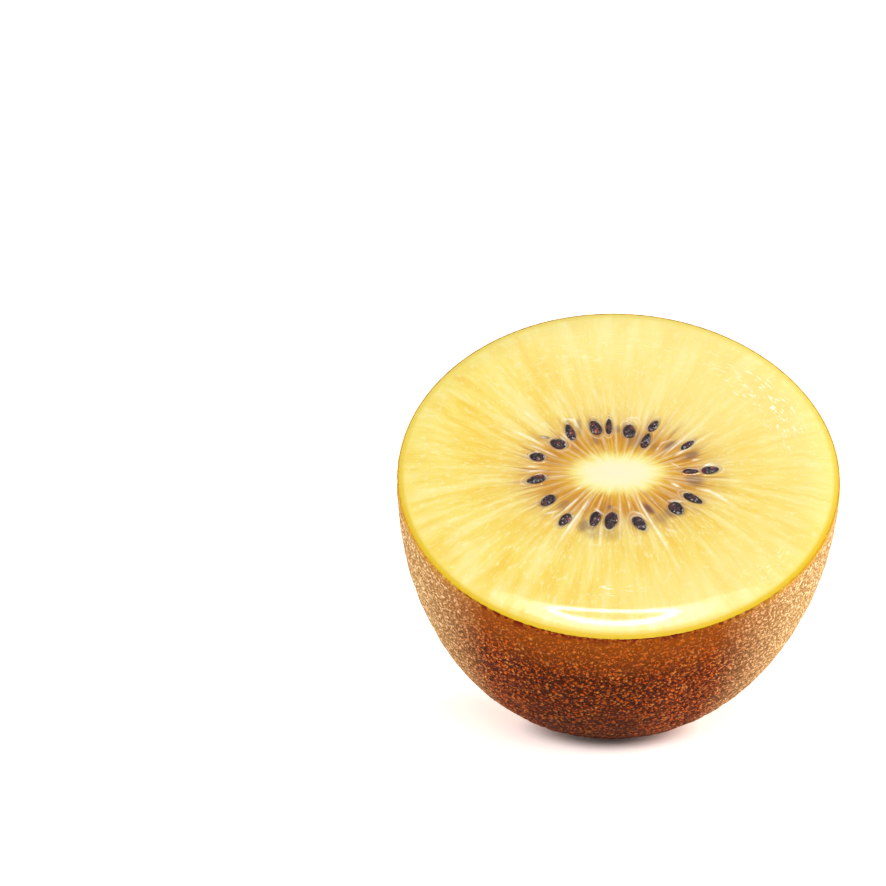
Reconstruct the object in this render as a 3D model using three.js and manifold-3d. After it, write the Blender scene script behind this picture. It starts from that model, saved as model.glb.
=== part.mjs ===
// Half of a golden kiwi fruit, cut across its middle and lying on its rounded side, with the cut face leaning
// forward. It grew as one piece, so it is one solid: the seeds are joined to the flesh that they grow from.
// Units are millimetres, +Z is up and the cut face leans towards -Y. The origin is the middle of the small
// flat spot that the fruit lies on.
import * as THREE from "three";
import { mergeVertices } from "three/addons/utils/BufferGeometryUtils.js";
import Module from "manifold-3d";

const wasm = await Module();
wasm.setup();

// Driving dimensions, in the fruit's own frame: +Z points straight out of the cut face.
const FACE_RADIUS = 26; // the fruit is 52 mm wide where it is cut
const DOME_DEPTH = 37; // from the cut face to the end of the fruit
const DOME_FULLNESS = 0.03; // how much fatter than an ellipsoid the dome is, as a share of its width
const DOME_TAPER = 0.013; // how much of that fullness moves from the rim towards the end of the fruit
const END_OFFSET = -0.6; // the end of the fruit lies this far to the side of the middle of the cut
const LEAN_FORWARD = THREE.MathUtils.degToRad(33); // the angle between the fruit's axis and upright
const FLAT_SPOT_DEPTH = 0.45; // how far the skin is pressed in where the fruit lies on it

// The cut face. Distances are measured from its middle, along its widest way.
const CORE = { halfWidth: 5.6, halfHeight: 3.2, x: -0.2, y: -0.6, rise: 0.4 }; // firm, so it stands proud
const CORE_SHAPE_FADE = 1.3; // how fast the rings turn from the core's flat shape to the rim's round one
const CHAMBER_COUNT = 32; // seed chambers round the core, with a thin wall between each two
const CHAMBER = { inner: 5.6, floorStart: 7.5, floorEnd: 9, outer: 13.5, depth: 0.5, wallRise: 0.42 };
const RIM_DROP = 0.6; // the flesh rounds over by this much before it meets the skin
const SHOULDER_WIDTH = { front: 4.7, back: 2.4 }; // how wide the rounded band inside the rim is
const RIM_WAVES = { second: 0.005, third: 0.0046, thirdTurn: 2.7 }; // the rim's unevenness, as shares of its radius

// The seeds that the cut shows: x and y on the face, turn away from the core in degrees, length and width.
const SEEDS = [
  [-7.0, 4.4, 5, 2.0, 1.5], [-5.5, 6.3, -22, 2.7, 1.1], [-2.5, 7.0, 0, 2.4, 1.4], [-0.9, 7.1, -8, 2.4, 0.8],
  [1.5, 6.4, 12, 2.2, 1.5], [4.4, 7.2, 0, 2.1, 1.0], [3.4, 4.8, 15, 2.5, 1.0], [8.3, 4.1, 12, 2.0, 0.8],
  [10.8, 0.1, 4, 2.1, 1.2], [8.5, -0.1, 0, 1.9, 0.7], [8.6, -4.4, -12, 2.6, 1.1], [6.6, -6.0, -20, 2.2, 1.6],
  [2.2, -8.3, 8, 2.5, 1.4], [-1.1, -7.9, -6, 2.8, 1.5], [-3.0, -7.8, 6, 2.7, 1.2], [-6.5, -7.8, 10, 2.4, 1.2],
  [-8.4, -4.7, 18, 2.2, 1.3], [-9.7, -1.3, 14, 2.4, 1.2], [-9.5, 2.3, 10, 1.8, 1.3],
];
const SEED_THICKNESS = 1.1;
const SEED_TOP = 0.16; // how far the seeds stand out of the plane of the cut
const SEED_SIDES = { round: 8, along: 6 };

// The skin is covered in raised grains, drawn larger than life here.
const GRAIN = { spacing: 1.35, rise: 0.32 };
// The grains grow from nothing to full over these falls from the rim, these heights above the lowest place, and
// this much fall before the scar.
const GRAIN_STARTS = { rim: [0.02, 0.14], floor: [0.5, 1], scar: 0.1 };

// The round scar of the stem at the end of the fruit. Its places are shares of its radius.
const SCAR = { radius: 3.4, depth: 0.9, rimRise: 0.45, knobRise: 0.55 };
const SCAR_PLACES = { pitEdge: 0.95, pitFloor: 0.55, rim: 1.15, rimWidth: 0.28, knobTop: 0.2 };

// How finely the surface is divided. Rings are given as shares of the radius of the face or of the scar.
const FACE_RINGS = [0.1, 0.19, 0.23, 0.28, 0.33, 0.39, 0.45, 0.52, 0.65, 0.78, 0.88, 0.95, 1];
const FACE_STEPS = CHAMBER_COUNT * 4;
const SCAR_RINGS = [1.35, 1.15, 0.95, 0.75, 0.55, 0.25];
const SCAR_STEPS = 28;

// A number from 0 to 1 that is always the same for the same whole number.
function scatter(n) {
  const wave = Math.sin(n * 12.9898 + 4.1414) * 43758.5453;
  return wave - Math.floor(wave);
}

// A smooth step from 0 at the value none to 1 at the value full, which may be the smaller of the two.
function rise(none, full, value) {
  const share = THREE.MathUtils.clamp((value - none) / (full - none), 0, 1);
  return share * share * (3 - 2 * share);
}

// How far the rim is from the middle at an angle: a circle with the slight unevenness of a real fruit.
function rimRadius(angle) {
  const { second, third, thirdTurn } = RIM_WAVES;
  return FACE_RADIUS * (1 + second * Math.sin(2 * angle) + third * Math.sin(3 * angle + thirdTurn));
}

// How high the rings of the face are for their width: flat like the core in the middle, and round at the rim.
function ringHeight(share) {
  const coreShare = CORE.halfWidth / FACE_RADIUS;
  const flatness = (1 - CORE.halfHeight / CORE.halfWidth) / Math.pow(1 - coreShare, CORE_SHAPE_FADE);
  return 1 - flatness * Math.pow(1 - share, CORE_SHAPE_FADE);
}

// The height of the cut face: a raised core, sunken chambers with thin walls between, and a round shoulder.
function faceRelief(share, angle) {
  const out = share * FACE_RADIUS;
  const core = CORE.rise * rise(CORE.halfWidth, 0, out);
  const hollow = rise(CHAMBER.inner, CHAMBER.floorStart, out) * rise(CHAMBER.outer, CHAMBER.floorEnd, out);
  const wall = Math.pow((1 + Math.cos(CHAMBER_COUNT * angle)) / 2, 3);
  const frontShare = (1 - Math.sin(angle)) / 2;
  const shoulderWidth = THREE.MathUtils.lerp(SHOULDER_WIDTH.back, SHOULDER_WIDTH.front, frontShare);
  const shoulder = Math.max(0, 1 - (FACE_RADIUS - out) / shoulderWidth);
  return core - hollow * (CHAMBER.depth - CHAMBER.wallRise * wall) - RIM_DROP * shoulder * shoulder;
}

// A point of the cut face: share is 0 in the middle of the core and 1 at the rim.
function facePoint(share, angle) {
  const radius = share * rimRadius(angle);
  return new THREE.Vector3(
    radius * Math.cos(angle) + CORE.x * (1 - share),
    radius * Math.sin(angle) * ringHeight(share) + CORE.y * (1 - share),
    faceRelief(share, angle),
  );
}

// The stem scar: a shallow round pit with a raised rim and a small woody knob in its middle.
function scarRelief(radius) {
  const share = radius / SCAR.radius;
  const pit = SCAR.depth * rise(SCAR_PLACES.pitEdge, SCAR_PLACES.pitFloor, share);
  const rim = SCAR.rimRise * Math.exp(-Math.pow((share - SCAR_PLACES.rim) / SCAR_PLACES.rimWidth, 2));
  const knob = SCAR.knobRise * rise(SCAR_PLACES.pitFloor, SCAR_PLACES.knobTop, share);
  return rim - pit + knob;
}

// A point of the dome, raised by grain: fall is 0 at the rim and a quarter turn at the end of the fruit.
function domePoint(fall, angle, grain = 0) {
  const across = Math.cos(fall);
  const down = Math.sin(fall);
  const fullness = 1 + DOME_FULLNESS * Math.sin(2 * fall) - DOME_TAPER * Math.sin(4 * fall);
  const unevenness = rimRadius(angle) / FACE_RADIUS - 1;
  const radius = FACE_RADIUS * across * fullness * (1 + unevenness * across);
  return new THREE.Vector3(
    (radius + grain * across) * Math.cos(angle) + END_OFFSET * down * down,
    (radius + grain * across) * Math.sin(angle),
    -RIM_DROP - (DOME_DEPTH - RIM_DROP + scarRelief(radius) + grain) * down,
  );
}

// The fruit's own direction that points down once it leans forward.
function downwards() {
  return new THREE.Vector3(0, -Math.sin(LEAN_FORWARD), -Math.cos(LEAN_FORWARD));
}

// The lowest place of the leaning dome, found by walking down the front of it in small steps.
function lowestPlace(down) {
  const stepCount = 600;
  let lowest = domePoint(0, -Math.PI / 2);
  for (let step = 1; step < stepCount; step++) {
    const place = domePoint((Math.PI / 2) * (step / stepCount), -Math.PI / 2);
    if (place.dot(down) > lowest.dot(down)) lowest = place;
  }
  return lowest;
}

// A ring of points, evenly spread round the fruit's axis: place gives the point at an angle and a step.
function ringOf(count, place) {
  return Array.from({ length: count }, (_, step) => place((2 * Math.PI * step) / count, step));
}

// The fall of the next ring of grains, one grain further down the dome.
function nextFall(fall) {
  return fall + GRAIN.spacing / Math.hypot(FACE_RADIUS * Math.sin(fall), DOME_DEPTH * Math.cos(fall));
}

// The rings of the dome between the rim and the scar, with a grain of uneven height at each point. The grains
// stay clear of the rim, the scar and the flat spot.
function grainRings(down, lowest) {
  const rings = [];
  const scarEdge = Math.acos((SCAR_RINGS[0] * SCAR.radius + GRAIN.spacing) / FACE_RADIUS);
  for (let fall = nextFall(0); fall < scarEdge; fall = nextFall(fall)) {
    const count = Math.round((2 * Math.PI * FACE_RADIUS * Math.cos(fall)) / GRAIN.spacing);
    const firstGrain = rings.flat().length;
    rings.push(ringOf(count, (angle, step) => {
      const aboveFloor = lowest.dot(down) - domePoint(fall, angle).dot(down);
      const nearScar = rise(scarEdge, scarEdge - GRAIN_STARTS.scar, fall);
      const room = rise(...GRAIN_STARTS.rim, fall) * nearScar * rise(...GRAIN_STARTS.floor, aboveFloor);
      return domePoint(fall, angle, GRAIN.rise * room * scatter(firstGrain + step));
    }));
  }
  return rings;
}

// The triangles between one ring and the next one out or down, which may have fewer or more points.
function band(faces, upper, lower) {
  let i = 0;
  let j = 0;
  while (i < upper.count || j < lower.count) {
    const here = upper.start + (i % upper.count);
    const below = lower.start + (j % lower.count);
    if ((i + 1) / upper.count < (j + 1) / lower.count) {
      i += 1;
      faces.push(here, below, upper.start + (i % upper.count));
    } else {
      j += 1;
      faces.push(here, below, lower.start + (j % lower.count));
    }
  }
}

// One closed surface from a first pole through rings of points to a last pole.
function closedSurface(firstPole, rings, lastPole) {
  const positions = [...rings.flat(), firstPole, lastPole].flatMap((p) => [p.x, p.y, p.z]);
  const starts = rings.map((_, number) => rings.slice(0, number).flat().length);
  const spans = rings.map((ring, number) => ({ start: starts[number], count: ring.length }));
  const firstPoleIndex = positions.length / 3 - 2;
  const lastPoleIndex = positions.length / 3 - 1;
  const faces = [];
  for (let step = 0; step < spans[0].count; step++) {
    faces.push(firstPoleIndex, step, (step + 1) % spans[0].count);
  }
  for (let number = 0; number + 1 < spans.length; number++) band(faces, spans[number], spans[number + 1]);
  const { start, count } = spans[spans.length - 1];
  for (let step = 0; step < count; step++) {
    faces.push(start + step, lastPoleIndex, start + ((step + 1) % count));
  }
  const geometry = new THREE.BufferGeometry();
  geometry.setAttribute("position", new THREE.Float32BufferAttribute(positions, 3));
  geometry.setIndex(faces);
  return geometry;
}

// The whole surface without its seeds, from the middle of the core over the rim to the middle of the scar.
function fruitSurface(down, lowest) {
  const face = FACE_RINGS.map((share) => ringOf(FACE_STEPS, (angle) => facePoint(share, angle)));
  const scarFalls = SCAR_RINGS.map((share) => Math.acos((share * SCAR.radius) / FACE_RADIUS));
  const scar = scarFalls.map((fall) => ringOf(SCAR_STEPS, (angle) => domePoint(fall, angle)));
  const rings = [...face, ...grainRings(down, lowest), ...scar];
  return closedSurface(facePoint(0, 0), rings, domePoint(Math.PI / 2, 0));
}

// A manifold-3d solid from a closed three.js geometry.
function solidOf(geometry) {
  geometry.deleteAttribute("normal");
  geometry.deleteAttribute("uv");
  const merged = mergeVertices(geometry, 1e-4);
  const mesh = new wasm.Mesh({
    numProp: 3,
    vertProperties: merged.attributes.position.array,
    triVerts: new Uint32Array(merged.index.array),
  });
  return new wasm.Manifold(mesh);
}

function geometryOf(solid) {
  const { vertProperties, triVerts } = solid.getMesh();
  const geometry = new THREE.BufferGeometry();
  geometry.setAttribute("position", new THREE.BufferAttribute(vertProperties, 3));
  geometry.setIndex(new THREE.BufferAttribute(triVerts, 1));
  geometry.computeVertexNormals();
  return geometry;
}

// One seed: it points away from the core, and all but its top is sunk in its chamber.
function seedGeometry([x, y, turn, length, width]) {
  const outwards = Math.atan2(y - CORE.y, x - CORE.x) + THREE.MathUtils.degToRad(turn);
  const seed = new THREE.SphereGeometry(0.5, SEED_SIDES.round, SEED_SIDES.along);
  seed.scale(length, width, SEED_THICKNESS);
  seed.rotateZ(outwards);
  seed.translate(x, y, SEED_TOP - SEED_THICKNESS / 2);
  return seed;
}

// What the flat spot takes off the dome: a block whose top lies across it at a point.
function blockBelow(point, down) {
  const size = 40;
  const block = new THREE.BoxGeometry(size, size, size);
  block.rotateX(-LEAN_FORWARD);
  const middle = point.clone().addScaledVector(down, size / 2);
  block.translate(middle.x, middle.y, middle.z);
  return block;
}

function kiwiHalf() {
  const down = downwards();
  const lowest = lowestPlace(down);
  const flatSpot = lowest.clone().addScaledVector(down, -FLAT_SPOT_DEPTH);
  let solid = solidOf(fruitSurface(down, lowest));
  for (const seed of SEEDS) solid = solid.add(solidOf(seedGeometry(seed)));
  solid = solid.subtract(solidOf(blockBelow(flatSpot, down)));
  const flesh = new THREE.MeshStandardMaterial({ color: 0xf3d463, roughness: 0.4, metalness: 0 });
  const mesh = new THREE.Mesh(geometryOf(solid), flesh);
  mesh.name = "kiwi_half";
  mesh.position.copy(flatSpot.negate());
  return mesh;
}

const leaning = new THREE.Group();
leaning.rotation.x = LEAN_FORWARD;
leaning.add(kiwiHalf());

const model = new THREE.Group();
model.add(leaning);

export default model;
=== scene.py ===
import math

import bpy
import numpy as np
from mathutils import Matrix, Quaternion, Vector


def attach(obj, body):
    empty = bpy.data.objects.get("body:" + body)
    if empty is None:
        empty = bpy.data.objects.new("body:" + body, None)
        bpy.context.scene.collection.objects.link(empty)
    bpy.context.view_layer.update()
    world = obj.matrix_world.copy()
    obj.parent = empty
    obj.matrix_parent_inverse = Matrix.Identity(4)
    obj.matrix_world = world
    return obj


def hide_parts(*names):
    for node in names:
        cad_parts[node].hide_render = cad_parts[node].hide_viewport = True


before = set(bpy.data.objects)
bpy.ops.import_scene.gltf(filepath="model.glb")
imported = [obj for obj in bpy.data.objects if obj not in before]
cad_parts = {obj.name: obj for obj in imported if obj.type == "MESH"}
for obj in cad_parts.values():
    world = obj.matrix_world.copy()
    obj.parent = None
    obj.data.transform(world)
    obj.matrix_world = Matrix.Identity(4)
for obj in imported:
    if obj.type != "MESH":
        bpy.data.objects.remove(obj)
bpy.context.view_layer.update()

randomSource = np.random.default_rng(2660)
print("stage 1: packed model loaded,", len(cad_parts), "node")

# The half fruit's own shape in millimetres, with +Z straight out of the cut face, as in the solid.
fruit = {
    "faceRadius": 26.0,
    "domeDepth": 37.0,
    "fullness": 0.03,
    "taper": 0.013,
    "endOffset": -0.6,
    "lean": math.radians(33),
    "flatSpotDepth": 0.45,
    "rimDrop": 0.6,
    "secondWave": 0.005,
    "thirdWave": 0.0046,
    "thirdTurn": 2.7,
}
# The stem scar at the hidden end, in millimetres.
stemScar = {
    "radius": 3.4,
    "pitDepth": 0.9,
    "rimHeight": 0.45,
    "knobHeight": 0.55,
}


# A smooth step from 0 at the value none to 1 at the value full: t t (3 - 2 t), with t held between 0 and 1.
def rise(none, full, value):
    t = np.clip((value - none) / (full - none), 0, 1)
    return t * t * (3 - 2 * t)


# A bell curve: 1 at the middle, falling off as exp(-q q), with q the distance from the middle in widths.
def bell(value, middle, width):
    return np.exp(-((value - middle) / width) ** 2)


# Distance of the rim from the middle at an angle: a circle plus a second and a third harmonic.
def rimRadius(angle):
    second = fruit["secondWave"] * np.sin(2 * angle)
    third = fruit["thirdWave"] * np.sin(3 * angle + fruit["thirdTurn"])
    return fruit["faceRadius"] * (1 + second + third)


# A ring round the stem scar: a pit, a raised rim and a knob in the middle, by distance from the fruit's axis.
def scarRelief(radius):
    share = radius / stemScar["radius"]
    pit = stemScar["pitDepth"] * rise(0.95, 0.55, share)
    rim = stemScar["rimHeight"] * bell(share, 1.15, 0.28)
    knob = stemScar["knobHeight"] * rise(0.55, 0.2, share)
    return rim - pit + knob


# The dome: an ellipsoid of the face's radius and the dome's depth, a little fuller than that. Its fall goes
# from 0 at the rim to a quarter turn at the end, and raised pushes it outwards.
def domeSurface(fall, angle, raised=0.0):
    across = np.cos(fall)
    down = np.sin(fall)
    fullness = 1 + fruit["fullness"] * np.sin(2 * fall) - fruit["taper"] * np.sin(4 * fall)
    unevenness = rimRadius(angle) / fruit["faceRadius"] - 1
    radius = fruit["faceRadius"] * across * fullness * (1 + unevenness * across)
    depth = fruit["domeDepth"] - fruit["rimDrop"] + scarRelief(radius) + raised
    outwards = radius + raised * across
    x = outwards * np.cos(angle) + fruit["endOffset"] * down ** 2
    y = outwards * np.sin(angle)
    z = -fruit["rimDrop"] - depth * down
    return np.stack(np.broadcast_arrays(x, y, z), axis=-1)


# The middle of the flat spot: the lowest point of the dome's front line once it leans, raised by the spot's
# depth.
def findFlatSpot():
    downwards = np.array([0, -math.sin(fruit["lean"]), -math.cos(fruit["lean"])])
    frontLine = domeSurface(np.linspace(0, math.pi / 2, 600, endpoint=False), -math.pi / 2)
    lowest = frontLine[np.argmax(frontLine @ downwards)]
    return lowest - downwards * fruit["flatSpotDepth"]


flatSpot = findFlatSpot()


# From the fruit's own frame in millimetres to the row's in metres: shift to the flat spot, then turn about X.
def leanForward(points):
    shifted = (np.asarray(points, dtype=float) - flatSpot) * 0.001
    c, s = math.cos(fruit["lean"]), math.sin(fruit["lean"])
    turn = np.array([[1, 0, 0], [0, c, -s], [0, s, c]])
    return shifted @ turn.T


# From an sRGB hex colour to linear light: ((c + 0.055) / 1.055) ^ 2.4 above 0.04045, c / 12.92 below.
def colour(hexCode):
    values = [int(hexCode[i:i + 2], 16) / 255 for i in (1, 3, 5)]
    return [((c + 0.055) / 1.055) ** 2.4 if c > 0.04045 else c / 12.92 for c in values] + [1.0]


# Adds a node with its settings, its inputs (a socket is linked, anything else is a value) and its colour
# stops, and gives back one of its outputs.
def addNode(tree, kind, inputs=None, stops=None, output=0, **settings):
    node = tree.nodes.new("ShaderNode" + kind)
    for name, value in settings.items():
        setattr(node, name, value)
    for name, value in (inputs or {}).items():
        if isinstance(value, bpy.types.NodeSocket):
            tree.links.new(value, node.inputs[name])
        else:
            node.inputs[name].default_value = value
    if stops:
        elements = node.color_ramp.elements
        while len(elements) < len(stops):
            elements.new(1.0)
        for element, (place, code) in zip(elements, stops):
            element.position = place
            element.color = colour(code) if isinstance(code, str) else [code, code, code, 1.0]
    return node.outputs[output] if node.outputs else None


# Lays one colour after another over a body colour. A layer's amount follows a value by its stops, times a
# mask.
def addLayers(tree, body, layers):
    for value, stops, mask, over in layers:
        amount = addNode(tree, "ValToRGB", {"Fac": value}, stops)
        amount = addNode(tree, "Math", {0: amount, 1: mask}, operation="MULTIPLY")
        over = colour(over) if isinstance(over, str) else over
        body = addNode(tree, "Mix", {0: amount, 6: body, 7: over}, output=2, data_type="RGBA")
    return body


# The mesh's own values, by name.
def readAttributes(tree, names):
    return {name: addNode(tree, "Attribute", output="Fac", attribute_name=name) for name in names}


def newMaterial(name):
    material = bpy.data.materials.new(name)
    material.use_nodes = True
    material.node_tree.nodes.clear()
    return material, material.node_tree


# The faces of a closed shell over rings of points: quads between the rings, and a fan of triangles to a pole
# at each end. The poles' points come after all the rings' points.
def shellFaces(ringCount, stepCount):
    ringStart = np.arange(ringCount - 1)[:, None] * stepCount
    nextRing = ringStart + stepCount
    here = np.arange(stepCount)[None, :]
    after = (here + 1) % stepCount
    quads = np.stack([ringStart + here, nextRing + here, nextRing + after, ringStart + after], axis=-1)
    pole = ringCount * stepCount
    lastRing = pole - stepCount
    here, after = here[0], after[0]
    firstFan = np.stack([np.full(stepCount, pole), here, after], axis=-1)
    lastFan = np.stack([lastRing + here, np.full(stepCount, pole + 1), lastRing + after], axis=-1)
    return quads.reshape(-1, 4), firstFan, lastFan


# A closed shell over rings of points, with its attributes; a pole has the mean value of the ring beside it.
def shellPiece(name, rings, firstPole, lastPole, material, attributes):
    ringCount, stepCount = rings.shape[:2]
    points = np.concatenate([rings.reshape(-1, 3), [firstPole], [lastPole]])
    faces = [corners for part in shellFaces(ringCount, stepCount) for corners in part.tolist()]
    mesh = bpy.data.meshes.new(name)
    mesh.from_pydata(leanForward(points).tolist(), [], faces)
    for label, values in attributes.items():
        isVector = values.ndim == 3
        flat = values.reshape(-1, 3) if isVector else values.reshape(-1)
        ends = np.stack([flat[:stepCount].mean(axis=0), flat[-stepCount:].mean(axis=0)])
        data = mesh.attributes.new(label, "FLOAT_VECTOR" if isVector else "FLOAT", "POINT").data
        data.foreach_set("vector" if isVector else "value", np.concatenate([flat, ends]).ravel())
    return finishPiece(name, mesh, material)


def finishPiece(name, mesh, material):
    mesh.materials.append(material)
    mesh.polygons.foreach_set("use_smooth", np.ones(len(mesh.polygons), dtype=bool))
    mesh.validate()
    mesh.update()
    piece = bpy.data.objects.new(name, mesh)
    bpy.context.scene.collection.objects.link(piece)
    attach(piece, "root")
    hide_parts("kiwi_half")
    print("made", name, "with", sum(len(p.vertices) - 2 for p in mesh.polygons), "triangles")
    return piece


# The cut face, in millimetres. Shares are of the face's radius: 0 in the middle of the core, 1 at the rim.
face = {
    "steps": 600,
    "coreHalfWidth": 5.6,
    "coreHalfHeight": 3.2,
    "coreX": -0.2,
    "coreY": -0.6,
    "coreRise": 0.06,
    "coreShapeFade": 1.3,
    "hollowDepth": 0.13,
    "skinThickness": 0.12,
    "shoulderFront": 4.7,
    "shoulderBack": 2.4,
    "shoulderCurve": 1.5,
    "hollowInner": (4.4, 9.0),
    "hollowOuter": (14.0, 9.5),
    "wallRise": 0.03,
    "underRings": 6,
    "underInset": 0.45,
    # the spacing of the rings at each radius, closest where the seeds and walls are
    "ringRadii": [0, 3.5, 4.5, 12.5, 14, 20, 26],
    "ringSpacing": [0.45, 0.3, 0.125, 0.125, 0.22, 0.24, 0.2],
}
# The faint walls between the seed chambers: how many there are, and the least and the spread of each one's
# start and end as shares, its strength and its half width in millimetres.
faintWall = {
    "count": 46,
    "start": (0.19, 0.04),
    "end": (0.30, 0.28),
    "strength": (0.10, 0.28),
    "halfWidth": (0.10, 0.12),
}
# Where the flesh's colours go from none to all: spans of the share from the middle to the rim, of how far to
# the front a place is, from 0 to 1, and of how far to the right, from -1 to 1.
fleshSpans = {
    "outerStart": (0.34, 0.50),
    "outerEnd": (1.0, 0.95),
    "streaksStart": (0.20, 0.25),
    "streaksEnd": (0.55, 0.42),
    "paintedSheen": (0.05, 0.95),
    "milkyStart": (0.55, 0.80),
    "milkyFront": (0.3, 0.9),
    "milkyRight": (-0.5, 0.3),
    "bandStart": (0.968, 0.988),
    "bandFront": (0.1, 0.8),
}

# The seeds that the cut shows: x, y, turn away from the core in degrees, length and width, in millimetres.
seedPlaces = [
    (-7.0, 4.4, 5, 2.0, 1.5), (-5.5, 6.3, -22, 2.7, 1.1), (-2.5, 7.0, 0, 2.4, 1.4),
    (-0.9, 7.1, -8, 2.4, 0.8), (1.5, 6.4, 12, 2.2, 1.5), (4.4, 7.2, 0, 2.1, 1.0),
    (3.4, 4.8, 15, 2.5, 1.0), (8.3, 4.1, 12, 2.0, 0.8), (10.8, 0.1, 4, 2.1, 1.2),
    (8.5, -0.1, 0, 1.9, 0.7), (8.6, -4.4, -12, 2.6, 1.1), (6.6, -6.0, -20, 2.2, 1.6),
    (2.2, -8.3, 8, 2.5, 1.4), (-1.1, -7.9, -6, 2.8, 1.5), (-3.0, -7.8, 6, 2.7, 1.2),
    (-6.5, -7.8, 10, 2.4, 1.2), (-8.4, -4.7, 18, 2.2, 1.3), (-9.7, -1.3, 14, 2.4, 1.2),
    (-9.5, 2.3, 10, 1.8, 1.3),
]
# What a seed leaves in the flesh round it: painted shade round its pocket, a pale outline, part of a pale
# loop, a dent and a low ridge. Places and widths are in the seed's own half lengths and half widths,
# heights in millimetres.
seedTrace = {
    "edge": 0.9,
    "shade": 0.55,
    "shadeWidth": 0.40,
    "outline": 1.12,
    "outlineWidth": 0.07,
    "outlineStrength": 0.30,
    "loop": 1.55,
    "loopWidth": 0.10,
    "loopStrength": 0.35,
    "dentDepth": 0.10,
    "dentWidth": 0.3,
    "ridge": 1.4,
    "ridgeRise": 0.03,
    "ridgeWidth": 0.2,
}
# Seeds just under the cut, which show through as dim spots, and painted shadows in hollows and loops: the
# same values, and how dark each is.
sunkenPlaces = [
    (8.9, -1.5, 0, 2.1, 1.8, 0.75), (3.4, -6.1, 0, 1.9, 0.8, 1.0), (-4.2, -8.8, 0, 2.0, 1.5, 0.7),
    (6.2, 4.0, 8, 1.9, 0.9, 0.75), (8.7, 2.4, 8, 1.8, 1.0, 0.75), (0.1, 6.6, 0, 1.2, 1.0, 0.6),
    (-8.4, 5.3, 20, 1.2, 0.5, 0.9), (-2.6, 4.8, 0, 1.4, 0.8, 0.5), (-4.4, 7.0, -25, 2.4, 0.6, 0.6),
    (-6.5, -5.4, 0, 1.8, 1.2, 0.45), (-1.2, -5.8, 0, 0.7, 0.5, 0.9), (-3.2, -9.9, 0, 2.0, 2.0, 0.35),
    (-1.2, -10.2, 0, 2.0, 2.0, 0.3), (5.8, -6.8, 0, 1.6, 1.2, 0.6), (4.7, -7.5, 0, 1.6, 1.6, 0.4),
    (2.2, 4.8, 0, 2.4, 2.0, 0.45), (4.2, 3.7, 0, 1.6, 1.0, 0.35),
]
# The pale walls and folds that stand out in the cut: how strong, half width, and the points that each runs
# through.
paleLines = [
    (1.00, 0.15, [(-3.2, -3.9), (-5.2, -7.5), (-7.7, -12.2)]),
    (0.80, 0.13, [(-3.6, -2.9), (-6.5, -6.3), (-8.9, -8.9)]),
    (0.60, 0.15, [(-3.9, -2.2), (-6.2, -3.9)]),
    (0.75, 0.14, [(-8.8, -6.9), (-7.1, -6.3)]),
    (0.70, 0.12, [(-2.3, -8.8), (-2.5, -11.9), (-3.6, -11.7)]),
    (0.50, 0.14, [(0.1, -3.8), (-0.1, -11.0)]),
    (0.95, 0.13, [(1.8, -3.0), (2.6, -5.7), (4.7, -10.9), (6.7, -15.6)]),
    (0.45, 0.12, [(3.4, -4.0), (4.6, -5.8)]),
    (0.90, 0.17, [(6.1, -2.0), (7.3, -2.7)]),
    (1.00, 0.18, [(9.2, -2.9), (10.5, -3.3), (11.8, -4.3), (13.4, -5.9)]),
    (0.85, 0.15, [(5.7, -4.8), (7.8, -5.0)]),
    (0.65, 0.18, [(5.4, -9.4), (6.4, -9.8)]),
    (0.60, 0.12, [(1.0, -4.6), (1.2, -6.2)]),
    (0.85, 0.11, [(1.6, -6.6), (2.5, -6.9), (3.2, -8.1)]),
    (0.40, 0.22, [(1.8, -9.9), (2.4, -12.4)]),
    (0.90, 0.13, [(-7.2, 2.3), (-9.1, 3.5), (-11.0, 4.4)]),
    (0.75, 0.14, [(-8.8, 4.2), (-10.7, 5.4), (-13.6, 7.2)]),
    (0.70, 0.12, [(-6.5, 6.0), (-5.6, 4.8)]),
    (0.70, 0.12, [(-6.7, 5.5), (-5.9, 4.6)]),
    (0.90, 0.12, [(-6.1, 8.2), (-5.0, 8.1), (-4.4, 6.5)]),
    (0.80, 0.13, [(-8.9, 5.4), (-8.3, 5.2)]),
    (0.80, 0.13, [(-9.0, 7.3), (-8.3, 7.5)]),
    (0.80, 0.12, [(-10.8, 0.7), (-9.2, 0.7)]),
    (0.85, 0.15, [(-10.8, -0.1), (-8.5, 0.1)]),
    (0.85, 0.12, [(5.3, 2.2), (6.6, 3.7), (10.1, 7.2)]),
    (0.65, 0.11, [(4.4, 2.9), (5.3, 4.4), (6.5, 5.0)]),
    (0.90, 0.13, [(6.7, 2.3), (7.9, 3.2), (8.9, 3.8)]),
    (0.75, 0.13, [(8.7, 1.6), (9.7, 1.8)]),
    (0.65, 0.12, [(6.0, 1.3), (7.4, 0.4)]),
    (0.60, 0.12, [(1.2, 8.4), (2.6, 8.4), (2.9, 7.4)]),
    (0.90, 0.14, [(9.9, 0.6), (10.7, 1.0), (11.6, 0.7)]),
    (0.35, 0.24, [(-2.8, 13.7), (-1.8, 10.5)]),
    (0.35, 0.24, [(-7.1, 13.3), (-5.9, 10.6)]),
    (0.40, 0.20, [(-11.0, 9.7), (-9.3, 7.6)]),
    (0.95, 0.12, [(-6.6, -7.8), (-5.6, -7.1), (-5.3, -7.5)]),
    (0.90, 0.13, [(-2.9, -6.0), (-1.9, -7.0)]),
]


# How high a ring is for its width: 1 at the rim, the core's own shape at the core's edge.
def ringHeight(share):
    coreShare = face["coreHalfWidth"] / fruit["faceRadius"]
    flatness = (1 - face["coreHalfHeight"] / face["coreHalfWidth"]) / (1 - coreShare) ** face["coreShapeFade"]
    return 1 - flatness * (1 - share) ** face["coreShapeFade"]


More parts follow.
